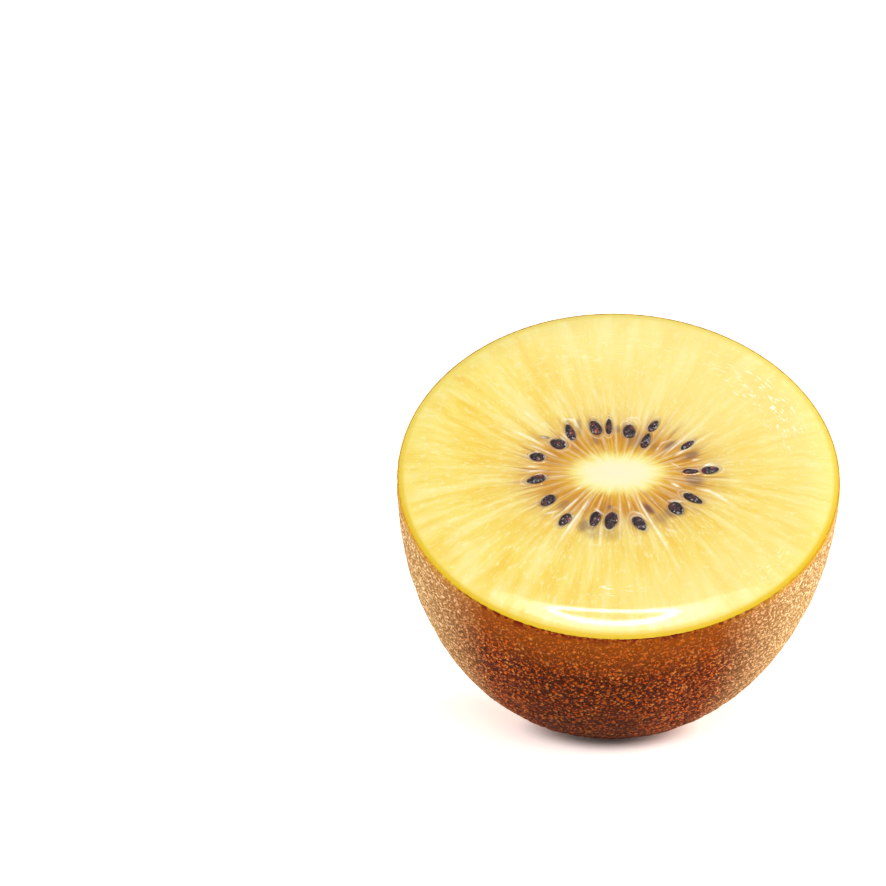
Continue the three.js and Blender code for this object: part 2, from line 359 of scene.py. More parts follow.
# Where a share and an angle lie on the cut: share times the rim's radius, flattened, and shifted by the core.
def facePlace(share, angle):
    radius = share * (rimRadius(angle) - face["skinThickness"])
    x = radius * np.cos(angle) + face["coreX"] * (1 - share)
    y = radius * np.sin(angle) * ringHeight(share) + face["coreY"] * (1 - share)
    return x, y


# How far a place is from a seed's middle, in its own half lengths and half widths, and how far along it lies.
def seedDistance(x, y, seed):
    seedX, seedY, turn, length, width = seed
    outwards = math.atan2(seedY - face["coreY"], seedX - face["coreX"]) + math.radians(turn)
    along = (x - seedX) * math.cos(outwards) + (y - seedY) * math.sin(outwards)
    aside = (y - seedY) * math.cos(outwards) - (x - seedX) * math.sin(outwards)
    return np.hypot(along / (length / 2), aside / (width / 2)), along


# How near a place is to a line through points: a bell curve of its distance to the nearest stretch, which
# fades towards both ends of the line.
def nearLine(x, y, points, halfWidth):
    lengths = [math.dist(start, end) for start, end in zip(points[:-1], points[1:])]
    done = 0.0
    total = np.zeros(x.shape)
    for (fromX, fromY), (toX, toY), length in zip(points[:-1], points[1:], lengths):
        runX, runY = toX - fromX, toY - fromY
        along = np.clip(((x - fromX) * runX + (y - fromY) * runY) / length ** 2, 0, 1)
        distance = np.hypot(x - fromX - along * runX, y - fromY - along * runY)
        part = (done + along * length) / sum(lengths)
        fade = 0.30 + 0.70 * rise(0.0, 0.3, part) * rise(1.0, 0.5, part)
        total = np.maximum(total, fade * bell(distance, 0, halfWidth))
        done += length
    return total


# A random value from its least and its spread.
def drawn(rng, leastAndSpread):
    return leastAndSpread[0] + leastAndSpread[1] * rng.random()


# Faint straight walls between the seed chambers: bell curves of the arc distance from each wall's own angle.
def faintWalls(share, angle):
    rng = np.random.default_rng(41)
    total = np.zeros(np.broadcast(share, angle).shape)
    arcPerTurn = share * fruit["faceRadius"] * np.hypot(np.sin(angle), ringHeight(share) * np.cos(angle))
    for wall in range(faintWall["count"]):
        middle = 2 * math.pi * (wall + 0.8 * rng.random()) / faintWall["count"] - math.pi
        start = drawn(rng, faintWall["start"])
        end = drawn(rng, faintWall["end"])
        strength = drawn(rng, faintWall["strength"])
        offset = (angle - middle + math.pi) % (2 * math.pi) - math.pi
        across = bell(offset * arcPerTurn, 0, drawn(rng, faintWall["halfWidth"]))
        total = np.maximum(total, strength * across * rise(start - 0.02, start + 0.04, share)
                           * rise(end + 0.06, end - 0.06, share))
    return total


# Long fibres that run outwards: a sum of cosines of the angle, whose phases drift slowly with the share.
def fibres(share, angle, lowest, highest, count, seed):
    rng = np.random.default_rng(seed)
    total = np.zeros(np.broadcast(share, angle).shape)
    for fibre in range(count):
        waves = rng.integers(lowest, highest)
        phase = 2 * math.pi * rng.random() + (1 + 5 * rng.random()) * np.sin(5 * share + 6 * rng.random())
        total += np.cos(waves * angle + phase)
    return total / math.sqrt(count)


# The rings' shares: their count grows along the radius by 1 / spacing, and there is a ring at each whole
# number.
def faceShares():
    radii = np.linspace(0.25, fruit["faceRadius"], 4000)
    spacing = np.interp(radii, face["ringRadii"], face["ringSpacing"])
    count = np.cumsum((radii[1] - radii[0]) / spacing)
    return np.interp(np.arange(0, int(count[-1]) + 1), count - count[0], radii) / fruit["faceRadius"]


# Where juice lies in small ripples, whose glints are also painted near white: how strong, how far out and
# how wide in millimetres, in which direction and how far round in degrees.
wetGlintPlaces = [
    (1.00, 21.8, 2.1, 33, 20),
    (0.20, 20.5, 3.0, 95, 32),
    (0.80, 20.6, 0.8, 264, 10),
    (0.35, 23.2, 1.4, 318, 12),
]


# How wet a place is, and how strongly its ripples' glints are painted: the highest of the wet places' bell
# curves of the distance out and of the direction.
def wetGlintPatches(out, turn):
    wet = np.zeros(np.broadcast(out, turn).shape)
    for strength, middle, width, direction, spread in wetGlintPlaces:
        wet = np.maximum(wet, strength * bell(out, middle, width) * bell(turn, direction, spread))
    return wet


def makeFace():
    angle = np.linspace(0, 2 * math.pi, face["steps"], endpoint=False)[None, :]
    share = faceShares()[:, None]
    share[-2:] = [[0.998], [1.0]]
    x, y = facePlace(share, angle)
    out = share * fruit["faceRadius"]
    core = face["coreRise"] * rise(face["coreHalfWidth"], 0, out)
    hollow = rise(*face["hollowInner"], out) * rise(*face["hollowOuter"], out)
    pale = faintWalls(share, angle)
    for strength, halfWidth, points in paleLines:
        pale = np.maximum(pale, strength * nearLine(x, y, points, halfWidth))
    frontShare = (1 - np.sin(angle)) / 2
    shoulderWidth = face["shoulderBack"] + (face["shoulderFront"] - face["shoulderBack"]) * frontShare
    shoulder = np.clip(1 - (fruit["faceRadius"] - out) / shoulderWidth, 0, 1)
    height = core - face["hollowDepth"] * hollow + face["wallRise"] * pale
    height = height - fruit["rimDrop"] * shoulder ** face["shoulderCurve"]
    shade = np.zeros_like(x)
    for seed in seedPlaces:
        distance, along = seedDistance(x, y, seed)
        outside = np.maximum(distance, seedTrace["edge"])
        nearEdge = bell(outside, seedTrace["edge"], seedTrace["shadeWidth"])
        shade = np.maximum(shade, seedTrace["shade"] * nearEdge)
        # the outline comes and goes along the seed, and the loop lies at one end of it
        outline = bell(distance, seedTrace["outline"], seedTrace["outlineWidth"])
        outline = outline * seedTrace["outlineStrength"] * (1 + np.sin(2.1 * seed[0] + 3 * along))
        loop = bell(distance, seedTrace["loop"], seedTrace["loopWidth"])
        loop = loop * seedTrace["loopStrength"] * rise(0.1, 0.9, along * math.cos(5 * seed[1]))
        pale = np.maximum(pale, np.maximum(outline, loop))
        height = height - seedTrace["dentDepth"] * bell(distance, seedTrace["edge"], seedTrace["dentWidth"])
        height = height + seedTrace["ridgeRise"] * bell(distance, seedTrace["ridge"], seedTrace["ridgeWidth"])
    for seed in sunkenPlaces:
        distance, along = seedDistance(x, y, seed[:5])
        shade = np.maximum(shade, seed[5] * bell(distance ** 2, 0, 1.1 ** 2))
    spans = fleshSpans
    right, back = np.cos(angle), np.sin(angle)
    outer = rise(*spans["outerStart"], share) * rise(*spans["outerEnd"], share) * np.ones_like(x)
    streaks = rise(*spans["streaksStart"], share) * rise(*spans["streaksEnd"], share)
    milky = rise(*spans["milkyStart"], share) * rise(*spans["milkyFront"], frontShare)
    top = np.stack([x, y, height], axis=-1)
    # the underside follows the dome just inside the skin, so that the flesh is a closed body
    fall = np.linspace(0.03, math.pi / 2 - 0.12, face["underRings"])[:, None]
    under = domeSurface(fall, angle, -face["underInset"])
    ray = np.stack(np.broadcast_arrays(right, back, share), axis=-1)
    values = {
        "share": share * np.ones_like(x),
        "pale": pale,
        "shade": shade,
        "wet": wetGlintPatches(out, np.degrees(angle)),
        "outer": outer,
        "streaks": streaks * np.ones_like(x),
        # painted sheen: the outer flesh is painted paler towards the back and the right
        "paintedSheen": rise(*spans["paintedSheen"], (0.6 * right + back) * share) * outer,
        "milky": milky * rise(*spans["milkyRight"], right) * outer,
        "band": rise(*spans["bandStart"], share) * (0.3 + 0.7 * rise(*spans["bandFront"], frontShare)),
    }
    underZeros = np.zeros(under.shape[:2])
    attributes = {label: np.concatenate([value, underZeros]) for label, value in values.items()}
    attributes["ray"] = np.concatenate([ray, np.broadcast_to(ray[-1], under.shape)])
    firstPole = [face["coreX"], face["coreY"], face["coreRise"]]
    lastPole = [0, 0, -fruit["domeDepth"] + 1.5]
    rings = np.concatenate([top, under])
    return shellPiece("flesh", rings, firstPole, lastPole, fleshMaterial(), attributes)


# How often each pattern of the flesh changes round the fruit and from middle to rim, its detail and its
# roughness: blotches about 4 by 6 mm, fibres about 1.2 by 7 mm and finer ones near the seeds, flecks 0.6 by
# 0.9 mm and juice ripples 1.7 by 0.2 mm.
fleshPatterns = {
    "blotch": (5, 4, 3, 0.6),
    "fibre": (18, 4, 3, 0.5),
    "fineFibre": (26, 4, 2, 0.6),
    "fleck": (40, 28, 3, 0.6),
    "ripple": (15, 125, 1, 0.5),
}


# Ripe kiwi flesh: soft and wet, so light goes in, spreads a few millimetres and comes out golden, and its
# film of juice shines. The studio is brighter than white paper, so these colours are darker than they look.
def fleshMaterial():
    material, tree = newMaterial("wetGoldenFlesh")
    names = ("share", "pale", "shade", "wet", "outer", "streaks", "paintedSheen", "milky", "band")
    mesh = readAttributes(tree, names)
    ray = addNode(tree, "Attribute", output="Vector", attribute_name="ray")
    place = addNode(tree, "TexCoord", output="Object")
    pattern = {}
    for name, (around, outwards, detail, roughness) in fleshPatterns.items():
        at = addNode(tree, "Mapping", {"Vector": ray, "Scale": (around, around, outwards)})
        settings = {"Vector": at, "Scale": 1, "Detail": detail, "Roughness": roughness}
        pattern[name] = addNode(tree, "TexNoise", settings)
    # unevenness about 1.1 mm across and juice sacs about 0.5 mm across
    patches = addNode(tree, "TexNoise", {"Vector": place, "Scale": 900, "Detail": 3})
    sacs = addNode(tree, "TexNoise", {"Vector": place, "Scale": 2000, "Detail": 2})
    shift = addNode(tree, "Math", {0: pattern["blotch"], 1: 0.10, 2: -0.095}, operation="MULTIPLY_ADD")
    shift = addNode(tree, "Math", {0: pattern["fibre"], 1: 0.09, 2: shift}, operation="MULTIPLY_ADD")
    ringShare = addNode(tree, "Math", {0: mesh["share"], 1: shift}, operation="ADD")
    body = addNode(tree, "ValToRGB", {"Fac": ringShare}, [
        (0.00, "#c7c2a2"), (0.12, "#c7c29c"), (0.17, "#c7c088"), (0.205, "#c3b264"), (0.245, "#b48a24"),
        (0.31, "#a4721a"), (0.37, "#a87a2c"), (0.44, "#b4954e"), (0.53, "#c0aa58"), (0.70, "#c4b156"),
        (0.93, "#c6b660"), (1.0, "#c6b65c"),
    ])
    rippleAndPaintedGlint = addNode(tree, "ValToRGB", {"Fac": pattern["ripple"]}, [(0.58, 0.0), (0.64, 1.0)])
    broken = addNode(tree, "ValToRGB", {"Fac": patches}, [(0.45, 0.0), (0.52, 1.0)])
    rippleAndPaintedGlint = addNode(tree, "Math", {0: rippleAndPaintedGlint, 1: mesh["wet"]}, operation="MULTIPLY")
    rippleAndPaintedGlint = addNode(tree, "Math", {0: rippleAndPaintedGlint, 1: broken}, operation="MULTIPLY")
    uneven = addNode(tree, "ValToRGB", {"Fac": patches}, [(0.30, 0.35), (0.55, 1.0)])
    body = addLayers(tree, body, [
        (pattern["fibre"], [(0.49, 0.0), (0.64, 0.5)], mesh["outer"], "#cac188"),
        (pattern["blotch"], [(0.34, 0.45), (0.54, 0.0)], mesh["outer"], "#c4a228"),
        (pattern["fibre"], [(0.32, 0.5), (0.46, 0.0)], mesh["outer"], "#c29e2c"),
        (pattern["fleck"], [(0.55, 0.0), (0.68, 0.45)], mesh["outer"], "#cdc796"),
        (pattern["fineFibre"], [(0.50, 0.0), (0.68, 0.55)], mesh["streaks"], "#c0a14c"),
        (pattern["fineFibre"], [(0.32, 0.7), (0.47, 0.0)], mesh["streaks"], "#8a580c"),
        # painted sheen, paler towards the back and the right
        (mesh["paintedSheen"], [(0.0, 0.0), (1.0, 0.5)], 1.0, "#c8bd80"),
        (mesh["milky"], [(0.0, 0.0), (1.0, 0.4)], 1.0, "#c6b978"),
        (mesh["band"], [(0.0, 0.0), (1.0, 1.0)], 1.0, "#ba9a00"),
        # painted shade round the seeds' pockets and in hollows, with the dim spots of seeds under the cut
        (mesh["shade"], [(0.0, 0.0), (1.0, 0.9)], 1.0, "#5c3a34"),
        (mesh["pale"], [(0.0, 0.0), (1.0, 1.0)], uneven, "#d0cbb4"),
        # painted glints: the juice ripples are painted near white, as well as raised in the coat
        (rippleAndPaintedGlint, [(0.0, 0.0), (1.0, 0.85)], 1.0, "#e2e0d2"),
    ])
    relief = addNode(tree, "Math", {0: pattern["fibre"], 1: sacs}, operation="ADD")
    soft = addNode(tree, "Bump", {"Height": relief, "Strength": 0.35, "Distance": 0.00012})
    film = addNode(tree, "Bump", {"Height": rippleAndPaintedGlint, "Strength": 0.7, "Distance": 0.00010})
    shader = addNode(tree, "BsdfPrincipled", {
        "Base Color": body, "Roughness": 0.40, "IOR": 1.30, "Specular IOR Level": 0.25, "Normal": soft,
        "Subsurface Weight": 0.3, "Subsurface Radius": (1.0, 0.6, 0.15), "Subsurface Scale": 0.0015,
        "Coat Weight": 1.0, "Coat Roughness": 0.05, "Coat IOR": 1.36, "Coat Normal": film,
    }, subsurface_method="RANDOM_WALK")
    addNode(tree, "OutputMaterial", {"Surface": shader})
    return material


# The skin, in millimetres. A span is the pair of values between which something goes from none to all.
skin = {
    "steps": 600,
    "rings": 150,
    "grainSpacing": 0.75,
    "grainRise": 0.06,
    "grainHalfLength": 0.84,
    "grainHalfWidth": 0.52,
    "grainMargin": 0.15,
    # the least and the spread of a grain's size and height, as shares of the spacing and of the rise
    "grainSize": (0.7, 0.5),
    "grainHeight": (0.55, 0.45),
    "lumpRise": 0.05,
    "lastRing": 0.992,
    "scarSpan": (4.8, 3.6),
    "raggedRise": 0.03,
    "raggedWithin": 0.2,
    # how far in from the rim and at what height the rings of the cut edge lie, from the innermost outwards
    "lip": [(3.0, -2.6), (0.6, -1.6), (0.22, -0.75), (0.13, -0.59), (0.05, -0.575)],
    # the spans for tan skin, of how far left, right or back a place is: painted light on the sides, the
    # skin's own tone at the back
    "litTanLeft": (0.50, 1.0),
    "litTanRight": (0.28, 0.95),
    "tanBack": (0.0, 0.4),
    # the spans for the painted lighter brown, and of the fall near the cut
    "lightLeft": (0.30, 0.60),
    "lightRight": (0.02, 0.30),
    "lightBack": (-0.2, 0.2),
    "lightAtCut": (0.30, 0.08),
}


# The dome's length from rim to end in fine steps: the fall at each, and how many millimetres each is long.
def domeSteps():
    fall = np.linspace(0, math.pi / 2, 3000)
    perRadian = np.hypot(fruit["faceRadius"] * np.sin(fall), fruit["domeDepth"] * np.cos(fall))
    return fall, perRadian * (fall[1] - fall[0])


# Raised grains: each lies in a cell of a belt round the dome, jittered and turned at random, and rises as
# 1 - q q, with q the distance in its own half length and half width. The highest of the nearest nine counts.
def grainField(fall, angle):
    spacing = skin["grainSpacing"]
    margin, jitter = skin["grainMargin"], 1 - 2 * skin["grainMargin"]
    leastSize, sizeSpread = skin["grainSize"]
    leastHeight, heightSpread = skin["grainHeight"]
    fine, steps = domeSteps()
    arcs = np.concatenate([[0], np.cumsum(steps)[:-1]])
    arc = np.interp(fall, fine, arcs)
    belts = np.arange(-1, int(arcs[-1] / spacing) + 3)
    beltFall = np.interp((belts + 0.5) * spacing, arcs, fine)
    beltLengths = 2 * math.pi * fruit["faceRadius"] * np.cos(beltFall)
    counts = np.maximum(np.round(beltLengths / spacing), 1).astype(int)
    starts = np.concatenate([[0], np.cumsum(counts)])
    rolls = np.random.default_rng(77).random((starts[-1], 4))
    radius = fruit["faceRadius"] * np.cos(fall)
    beltHere = np.floor(arc / spacing).astype(int) + 1
    best = np.zeros(np.broadcast(fall, angle).shape)
    for beltStep in (-1, 0, 1):
        belt = np.clip(beltHere + beltStep, 0, len(counts) - 1)
        count = counts[belt]
        cell = np.floor(angle / (2 * math.pi) * count).astype(int)
        for cellStep in (-1, 0, 1):
            roll = rolls[starts[belt] + (cell + cellStep) % count]
            grainAngle = (cell + cellStep + margin + jitter * roll[..., 0]) / count * 2 * math.pi
            across = (angle - grainAngle) * radius
            along = arc - (belts[belt] + margin + jitter * roll[..., 1]) * spacing
            turn = math.pi * roll[..., 2]
            u = across * np.cos(turn) + along * np.sin(turn)
            v = along * np.cos(turn) - across * np.sin(turn)
            size = spacing * (leastSize + sizeSpread * roll[..., 3])
            lengthShare = u / (skin["grainHalfLength"] * size)
            widthShare = v / (skin["grainHalfWidth"] * size)
            bulge = 1 - lengthShare ** 2 - widthShare ** 2
            best = np.maximum(best, bulge * (leastHeight + heightSpread * roll[..., 3]))
    return best


def makeSkin():
    angle = np.linspace(0, 2 * math.pi, skin["steps"], endpoint=False)[None, :]
    fine, steps = domeSteps()
    arcs = np.cumsum(steps) / steps.sum()
    fall = np.interp(np.linspace(0, skin["lastRing"], skin["rings"]), arcs, fine)[:, None]
    grain = grainField(fall, angle)
    radius = fruit["faceRadius"] * np.cos(fall)
    scar = rise(*skin["scarSpan"], radius) * np.ones_like(grain)
    # painted light: the skin is painted paler and tanner towards both sides, as if lit there, with the front
    # left in shade; towards the back it is tanner as its own tone
    right, back = np.cos(angle), np.sin(angle)
    side = np.maximum(0.95 * rise(*skin["litTanLeft"], -right), rise(*skin["litTanRight"], right))
    side = np.maximum(side, 0.5 * rise(*skin["tanBack"], back)) * np.ones_like(grain)
    # painted light: its brown is painted lighter everywhere but in the middle of the front, which is left in
    # shade, and a little near the cut, where light falls from above
    paintedLight = np.maximum(rise(*skin["lightLeft"], -right), rise(*skin["lightRight"], right))
    paintedLight = np.maximum(paintedLight, rise(*skin["lightBack"], back))
    paintedLight = np.maximum(paintedLight, 0.5 * rise(*skin["lightAtCut"], fall))
    downwards = np.array([0, -math.sin(fruit["lean"]), -math.cos(fruit["lean"])])
    room = rise(0.0, 0.02, fall) * (1 - 0.8 * scar)
    lumps = fibres(fall * 8, angle, 3, 26, 14, 19) * rise(math.pi / 2, 1.1, fall)
    raised = room * (skin["grainRise"] * grain + skin["lumpRise"] * lumps)
    outer = domeSurface(fall, angle, raised)
    # the flat spot: whatever would lie lower is pressed up to it
    below = np.maximum(0, (outer - flatSpot) @ downwards)
    outer = outer - below[..., None] * downwards
    # the cut edge of the skin turns in over the flesh's rim and then runs down inside, where it is closed
    edgeAngle = angle[0]
    rim = rimRadius(edgeAngle)
    ragged = skin["raggedRise"] * fibres(np.ones(1), edgeAngle, 60, 300, 20, 23)
    lip = []
    for inset, height in skin["lip"]:
        r = rim - inset
        z = np.full_like(r, height) + (ragged if inset < skin["raggedWithin"] else 0)
        lip.append(np.stack([r * np.cos(edgeAngle), r * np.sin(edgeAngle), z], axis=-1))
    values = {"side": side, "paintedLight": paintedLight, "scar": scar, "fall": fall * np.ones_like(grain)}
    attributes = {label: np.concatenate([value[:1]] * len(lip) + [value]) for label, value in values.items()}
    firstPole = [0, 0, skin["lip"][0][1]]
    lastPole = domeSurface(np.array(math.pi / 2), np.array(0.0))
    rings = np.concatenate([np.array(lip), outer])
    return shellPiece("skin", rings, firstPole, lastPole, skinMaterial(), attributes)


# Kiwi skin: dry, leathery and brown, thickly set with small orange grains, and matt. Its colour follows the
# grains' height: partly their own orange on brown, partly painted shade in the gaps and painted
# highlights on the tips.
def skinMaterial():
    material, tree = newMaterial("grainyBrownSkin")
    mesh = readAttributes(tree, ("side", "paintedLight", "scar", "fall"))
    place = addNode(tree, "TexCoord", output="Object")
    # grains are a little longer from front to back than across
    place = addNode(tree, "Mapping", {"Vector": place, "Scale": (1.0, 0.72, 1.0)})
    # each place is shifted by up to 0.2 mm, which draws the round grains out in all directions
    drift = addNode(tree, "TexNoise", {"Vector": place, "Scale": 1900, "Detail": 1}, output="Color")
    drawnOut = addNode(tree, "VectorMath", {0: drift, 1: (0.0007, 0.0007, 0.0007), 2: place},
                       operation="MULTIPLY_ADD")
    # grains 0.42 mm apart, with finer ones 0.25 mm apart between them
    distance = addNode(tree, "TexVoronoi", {"Vector": drawnOut, "Scale": 2400})
    coarseTop = addNode(tree, "ValToRGB", {"Fac": distance}, [(0.14, 1.0), (0.58, 0.0)])
    cell = addNode(tree, "TexVoronoi", {"Vector": drawnOut, "Scale": 2400}, output="Color")
    tone = addNode(tree, "SeparateColor", {"Color": cell})
    distance = addNode(tree, "TexVoronoi", {"Vector": drawnOut, "Scale": 4000})
    fineTop = addNode(tree, "ValToRGB", {"Fac": distance}, [(0.05, 0.6), (0.60, 0.0)])
    height = addNode(tree, "Math", {0: coarseTop, 1: fineTop}, operation="MAXIMUM")
    patch = addNode(tree, "TexNoise", {"Vector": place, "Scale": 260, "Detail": 3})
    # painted shade and highlight: darker in the gaps and lighter on the grains' tops, partly their own orange
    body = addNode(tree, "ValToRGB", {"Fac": height}, [
        (0.0, "#240b01"), (0.30, "#4a1c03"), (0.65, "#763808"), (1.0, "#b0661e"),
    ])
    lighter = addNode(tree, "ValToRGB", {"Fac": height}, [
        (0.0, "#321006"), (0.30, "#622808"), (0.65, "#964e18"), (1.0, "#d68c46"),
    ])
    middle = addNode(tree, "Math", {0: 1.0, 1: mesh["paintedLight"]}, operation="SUBTRACT")
    front = addNode(tree, "Math", {0: 1.0, 1: mesh["side"]}, operation="SUBTRACT")
    edge = addNode(tree, "ValToRGB", {"Fac": mesh["fall"]}, [(0.004, 1.0), (0.028, 0.0)])
    edge = addNode(tree, "Math", {0: edge, 1: front}, operation="MULTIPLY")
    tan = addNode(tree, "ValToRGB", {"Fac": height}, [(0.05, "#8c683c"), (0.5, "#c8a86c"), (0.95, "#eedcb4")])
    specks = addNode(tree, "TexNoise", {"Vector": place, "Scale": 1500, "Detail": 2})
    body = addLayers(tree, body, [
        # painted light: a lighter brown everywhere but in the middle of the front
        (mesh["paintedLight"], [(0.0, 0.0), (1.0, 1.0)], 1.0, lighter),
        (tone, [(0.56, 0.0), (0.68, 0.8)], coarseTop, "#b85014"),
        (tone, [(0.12, 0.9), (0.20, 0.0)], coarseTop, "#b27a3c"),
        (patch, [(0.42, 0.0), (0.66, 0.2)], 1.0, "#481a02"),
        # amber near the cut; then painted shade, partly the skin's own darker brown: the middle of the front
        # darkens downwards
        (mesh["fall"], [(0.0, 0.6), (0.10, 0.35), (0.22, 0.0)], 1.0, "#8e4a04"),
        (mesh["fall"], [(0.15, 0.0), (0.60, 0.35)], middle, "#301002"),
        # painted light: tan on both sides, as if lit there, and tan at the back as the skin's own tone
        (mesh["side"], [(0.12, 0.0), (0.9, 1.0)], 1.0, tan),
        (mesh["fall"], [(0.0, 1.0), (0.03, 0.0)], mesh["side"], "#b98418"),
        (specks, [(0.50, 0.0), (0.56, 1.0)], edge, "#5c1408"),
        (mesh["scar"], [(0.0, 0.0), (1.0, 1.0)], 1.0, "#4a2c1a"),
    ])
    bump = addNode(tree, "Bump", {"Height": height, "Strength": 0.9, "Distance": 0.00016})
    shader = addNode(tree, "BsdfPrincipled", {
        "Base Color": body, "Roughness": 0.65, "IOR": 1.45, "Specular IOR Level": 0.04, "Normal": bump,
    })
    addNode(tree, "OutputMaterial", {"Surface": shader})
    return material


# The seeds, in millimetres.
seeds = {
    "round": 22,
    "along": 15,
    "thickness": 0.6,
    "top": 0.09,
    "point": 0.22,
    "tilt": 0.2,
}


# A seed: a drop whose half width is sin(t) (1 - point cos(t)), with t from one end to the other.
def makeSeeds():
    t = np.linspace(0, math.pi, seeds["along"] + 2)[1:-1, None]
    turn = np.linspace(0, 2 * math.pi, seeds["round"], endpoint=False)[None, :]
    halfWidth = np.sin(t) * (1 - seeds["point"] * np.cos(t))
    along = np.broadcast_to(np.cos(t), (t.size, turn.size))
    ball = np.stack([along, halfWidth * np.cos(turn), halfWidth * np.sin(turn)], axis=-1).reshape(-1, 3)
    ball = np.concatenate([ball, [[1, 0, 0]], [[-1, 0, 0]]])
    # the drop's rings turn the other way round, so the corners of its faces run backwards
    shell = [np.roll(part[:, ::-1], 1, axis=1) for part in shellFaces(seeds["along"], seeds["round"])]
    points, faces = [], []
    for number, (x, y, turnAway, length, width) in enumerate(seedPlaces):
        outwards = math.atan2(y - face["coreY"], x - face["coreX"]) + math.radians(turnAway)
        tilt = seeds["tilt"] * (randomSource.random() - 0.5)
        body = ball * [length / 2, width / 2, seeds["thickness"] / 2]
        matrix = np.array(Matrix.Rotation(outwards, 3, "Z") @ Matrix.Rotation(tilt, 3, "Y"))
        body = body @ matrix.T + [x, y, seeds["top"] - seeds["thickness"] / 2]
        start = number * len(ball)
        points.append(body)
        faces += [corners for part in shell for corners in (part + start).tolist()]
    mesh = bpy.data.meshes.new("seeds")
    mesh.from_pydata(leanForward(np.concatenate(points)).tolist(), [], faces)
    return finishPiece("seeds", mesh, seedMaterial())


# Kiwi seed: a hard, nearly black brown coat with fine pits and rusty patches, wet with juice, so it has small
# sharp highlights.
def seedMaterial():
    material, tree = newMaterial("wetKiwiSeed")
    place = addNode(tree, "TexCoord", output="Object")
    # rusty patches about 0.8 mm across, and pale specks about 0.25 mm across that are painted glints on the
    # wet coat
    patch = addNode(tree, "TexNoise", {"Vector": place, "Scale": 1300, "Detail": 3})
    glintSpeck = addNode(tree, "TexNoise", {"Vector": place, "Scale": 3600, "Detail": 1})
    base = addNode(tree, "ValToRGB", {"Fac": patch}, [
        (0.42, "#14090c"), (0.56, "#2a1216"), (0.66, "#54211e"), (0.76, "#96452a"),
    ])
    base = addLayers(tree, base, [(glintSpeck, [(0.66, 0.0), (0.72, 0.7)], 1.0, "#a39aa0")])
    pits = addNode(tree, "TexVoronoi", {"Vector": place, "Scale": 3600})
    bump = addNode(tree, "Bump", {"Height": pits, "Strength": 0.8, "Distance": 0.00009})
    shader = addNode(tree, "BsdfPrincipled", {
        "Base Color": base, "Roughness": 0.32, "IOR": 1.40, "Normal": bump,
        "Coat Weight": 0.35, "Coat Roughness": 0.10, "Coat IOR": 1.33, "Coat Normal": bump,
    })
    addNode(tree, "OutputMaterial", {"Surface": shader})
    return material


makeFace()
makeSkin()
makeSeeds()
print("stage 2: pieces made")

# The studio: a pale table and soft lights. Places and sizes are in metres, powers in watts.
studio = {
    "tableHalfWidth": 6.0,
    "tableColour": "#f7ddd2",
    # the table glows though it is no lamp, and its glow drops near the fruit to a painted contact shadow
    "tableGlow": 0.50,
    "paintedShadowGlow": 0.03,
    "glowStart": 0.0065,
    "glowFull": 0.0115,
    "worldColour": "#ffffff",
    "worldStrength": 0.42,
    "sunStrength": 3.3,
    "sunWidth": math.radians(34),
    "sunHeight": math.radians(38),
    "sunSide": math.radians(2),
    "lights": [
        # name, place, size across, size deep, power, and whether it hangs level or is aimed at the fruit
        ("wideGlow", (0.028, -0.066, 0.538), 0.210, 0.056, 0.12, True),
        ("topGlow", (0.020, -0.070, 0.534), 0.135, 0.062, 0.13, True),
        ("topLight", (0.017, -0.061, 0.530), 0.082, 0.047, 0.20, True),
        ("leftLight", (-0.45, 0.12, 0.14), 0.16, 0.25, 1.2, False),
        ("rightLight", (0.45, 0.10, 0.16), 0.16, 0.25, 2.6, False),
    ],
    "cardPlace": (0.0165, -0.058, 0.526),
    "cardHalfWidth": 0.031,
    "cardHalfDepth": 0.0115,
    "cardCorners": 40,
    "aim": (0, 0, 0.028),
}


def makeTable():
    half = studio["tableHalfWidth"]
    mesh = bpy.data.meshes.new("table")
    corners = [(-half, -half, 0), (half, -half, 0), (half, half, 0), (-half, half, 0)]
    mesh.from_pydata(corners, [], [(0, 1, 2, 3)])
    # painted light: the table glows though it is no lamp, least where the fruit rests, which paints the
    # contact shadow
    material, tree = newMaterial("glowingTablePaintedShadow")
    place = addNode(tree, "TexCoord", output="Object")
    distance = addNode(tree, "VectorMath", {0: place}, output="Value", operation="LENGTH")
    glow = addNode(tree, "MapRange", {"Value": distance, "From Min": studio["glowStart"],
                                      "From Max": studio["glowFull"], "To Min": studio["paintedShadowGlow"],
                                      "To Max": studio["tableGlow"]},
                   interpolation_type="SMOOTHSTEP")
    shader = addNode(tree, "BsdfPrincipled", {
        "Base Color": colour(studio["tableColour"]), "Roughness": 0.9, "Specular IOR Level": 0.0,
        "Emission Color": colour("#ffffff"), "Emission Strength": glow,
    })
    addNode(tree, "OutputMaterial", {"Surface": shader})
    mesh.materials.append(material)
    table = bpy.data.objects.new("table", mesh)
    bpy.context.scene.collection.objects.link(table)


# A small dark card before the top light, which only shiny surfaces show: the dark window in the highlight.
def makeCard():
    turn = np.linspace(0, 2 * math.pi, studio["cardCorners"], endpoint=False)
    outline = [studio["cardHalfWidth"] * np.cos(turn), studio["cardHalfDepth"] * np.sin(turn), 0 * turn]
    points = np.stack(outline, axis=-1) + studio["cardPlace"]
    mesh = bpy.data.meshes.new("darkCard")
    mesh.from_pydata(points.tolist(), [], [list(range(studio["cardCorners"]))])
    material, tree = newMaterial("blackCard")
    shader = addNode(tree, "BsdfDiffuse", {"Color": colour("#0a0a0a")})
    addNode(tree, "OutputMaterial", {"Surface": shader})
    mesh.materials.append(material)
    card = bpy.data.objects.new("darkCard", mesh)
    card.visible_camera = False
    card.visible_diffuse = False
    card.visible_shadow = False
    bpy.context.scene.collection.objects.link(card)


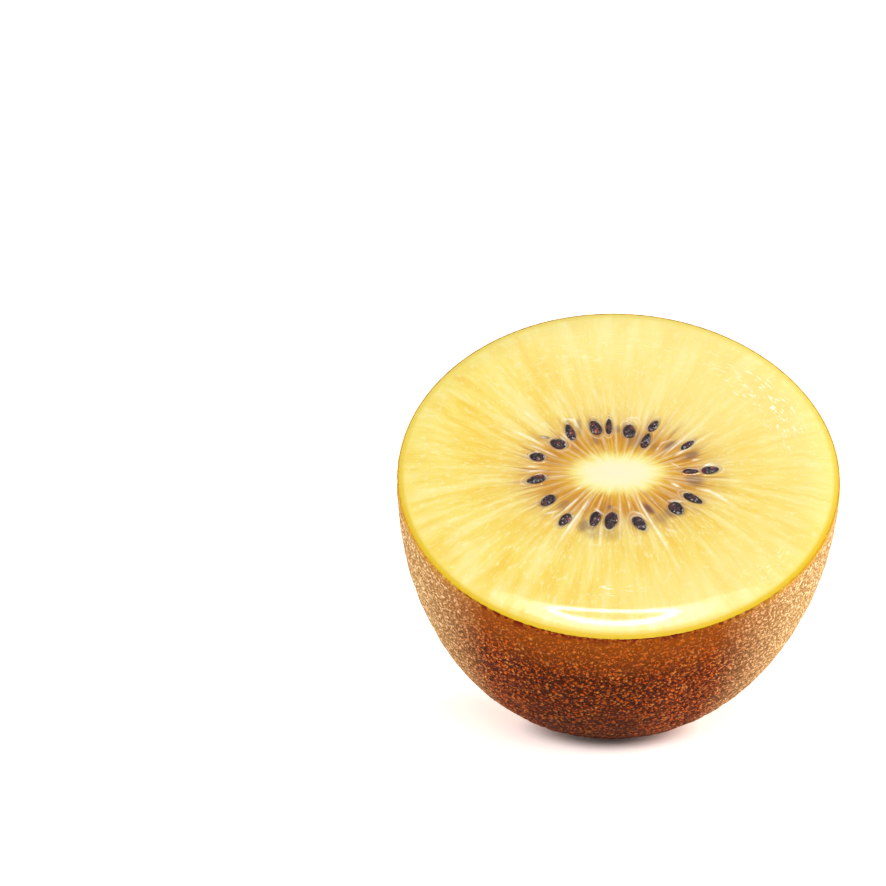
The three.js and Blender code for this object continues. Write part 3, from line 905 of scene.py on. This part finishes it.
def makeLights():
    aim = Vector(studio["aim"])
    for name, place, across, deep, power, isLevel in studio["lights"]:
        lamp = bpy.data.lights.new(name, "AREA")
        lamp.shape = "ELLIPSE"
        lamp.size, lamp.size_y, lamp.energy = across, deep, power
        holder = bpy.data.objects.new(name, lamp)
        holder.location = place
        holder.rotation_mode = "QUATERNION"
        aimed = (aim - Vector(place)).to_track_quat("-Z", "Y")
        holder.rotation_quaternion = Quaternion() if isLevel else aimed
        holder.visible_camera = False
        bpy.context.scene.collection.objects.link(holder)
    sun = bpy.data.lights.new("frontSun", "SUN")
    sun.energy, sun.angle = studio["sunStrength"], studio["sunWidth"]
    holder = bpy.data.objects.new("frontSun", sun)
    low, side = studio["sunHeight"], studio["sunSide"]
    towardsSun = Vector((math.sin(side) * math.cos(low), -math.cos(side) * math.cos(low), math.sin(low)))
    holder.rotation_mode = "QUATERNION"
    holder.rotation_quaternion = (-towardsSun).to_track_quat("-Z", "Y")
    bpy.context.scene.collection.objects.link(holder)
    world = bpy.data.worlds.new("studio")
    world.use_nodes = True
    background = world.node_tree.nodes["Background"]
    background.inputs["Color"].default_value = colour(studio["worldColour"])
    background.inputs["Strength"].default_value = studio["worldStrength"]
    bpy.context.scene.world = world
    bpy.context.scene.view_settings.view_transform = "Standard"
    bpy.context.scene.view_settings.look = "None"


# The camera: its angles are the photograph's, and the middle of the cut lies at this pixel of the 886 frame.
cameraView = {
    "azimuth": math.radians(-2.5),
    "elevation": math.radians(14.5),
    "distance": 0.700,
    "pixelsPerMetre": 8513.0,
    "frame": 886,
    "sensorWidth": 36,
    "faceX": 618.5,
    "faceY": 468.6,
}


def makeCamera():
    a, e = cameraView["azimuth"], cameraView["elevation"]
    back = Vector((math.sin(a) * math.cos(e), -math.cos(a) * math.cos(e), math.sin(e)))
    right = Vector((math.cos(a), math.sin(a), 0))
    up = back.cross(right)
    middle = Vector(leanForward([0.0, 0.0, 0.0]))
    aside = (cameraView["faceX"] - cameraView["frame"] / 2) / cameraView["pixelsPerMetre"]
    below = (cameraView["faceY"] - cameraView["frame"] / 2) / cameraView["pixelsPerMetre"]
    lens = bpy.data.cameras.new("camera")
    lens.sensor_width = cameraView["sensorWidth"]
    focal = cameraView["pixelsPerMetre"] * cameraView["distance"]
    lens.lens = lens.sensor_width * focal / cameraView["frame"]
    lens.clip_start, lens.clip_end = 0.01, 20
    camera = bpy.data.objects.new("camera", lens)
    camera.location = middle + back * cameraView["distance"]
    aim = middle - right * aside + up * below
    camera.rotation_mode = "QUATERNION"
    camera.rotation_quaternion = (aim - camera.location).to_track_quat("-Z", "Y")
    bpy.context.scene.collection.objects.link(camera)
    bpy.context.scene.camera = camera


makeTable()
makeCard()
makeLights()
makeCamera()
print("stage 3: table, lights and camera made")
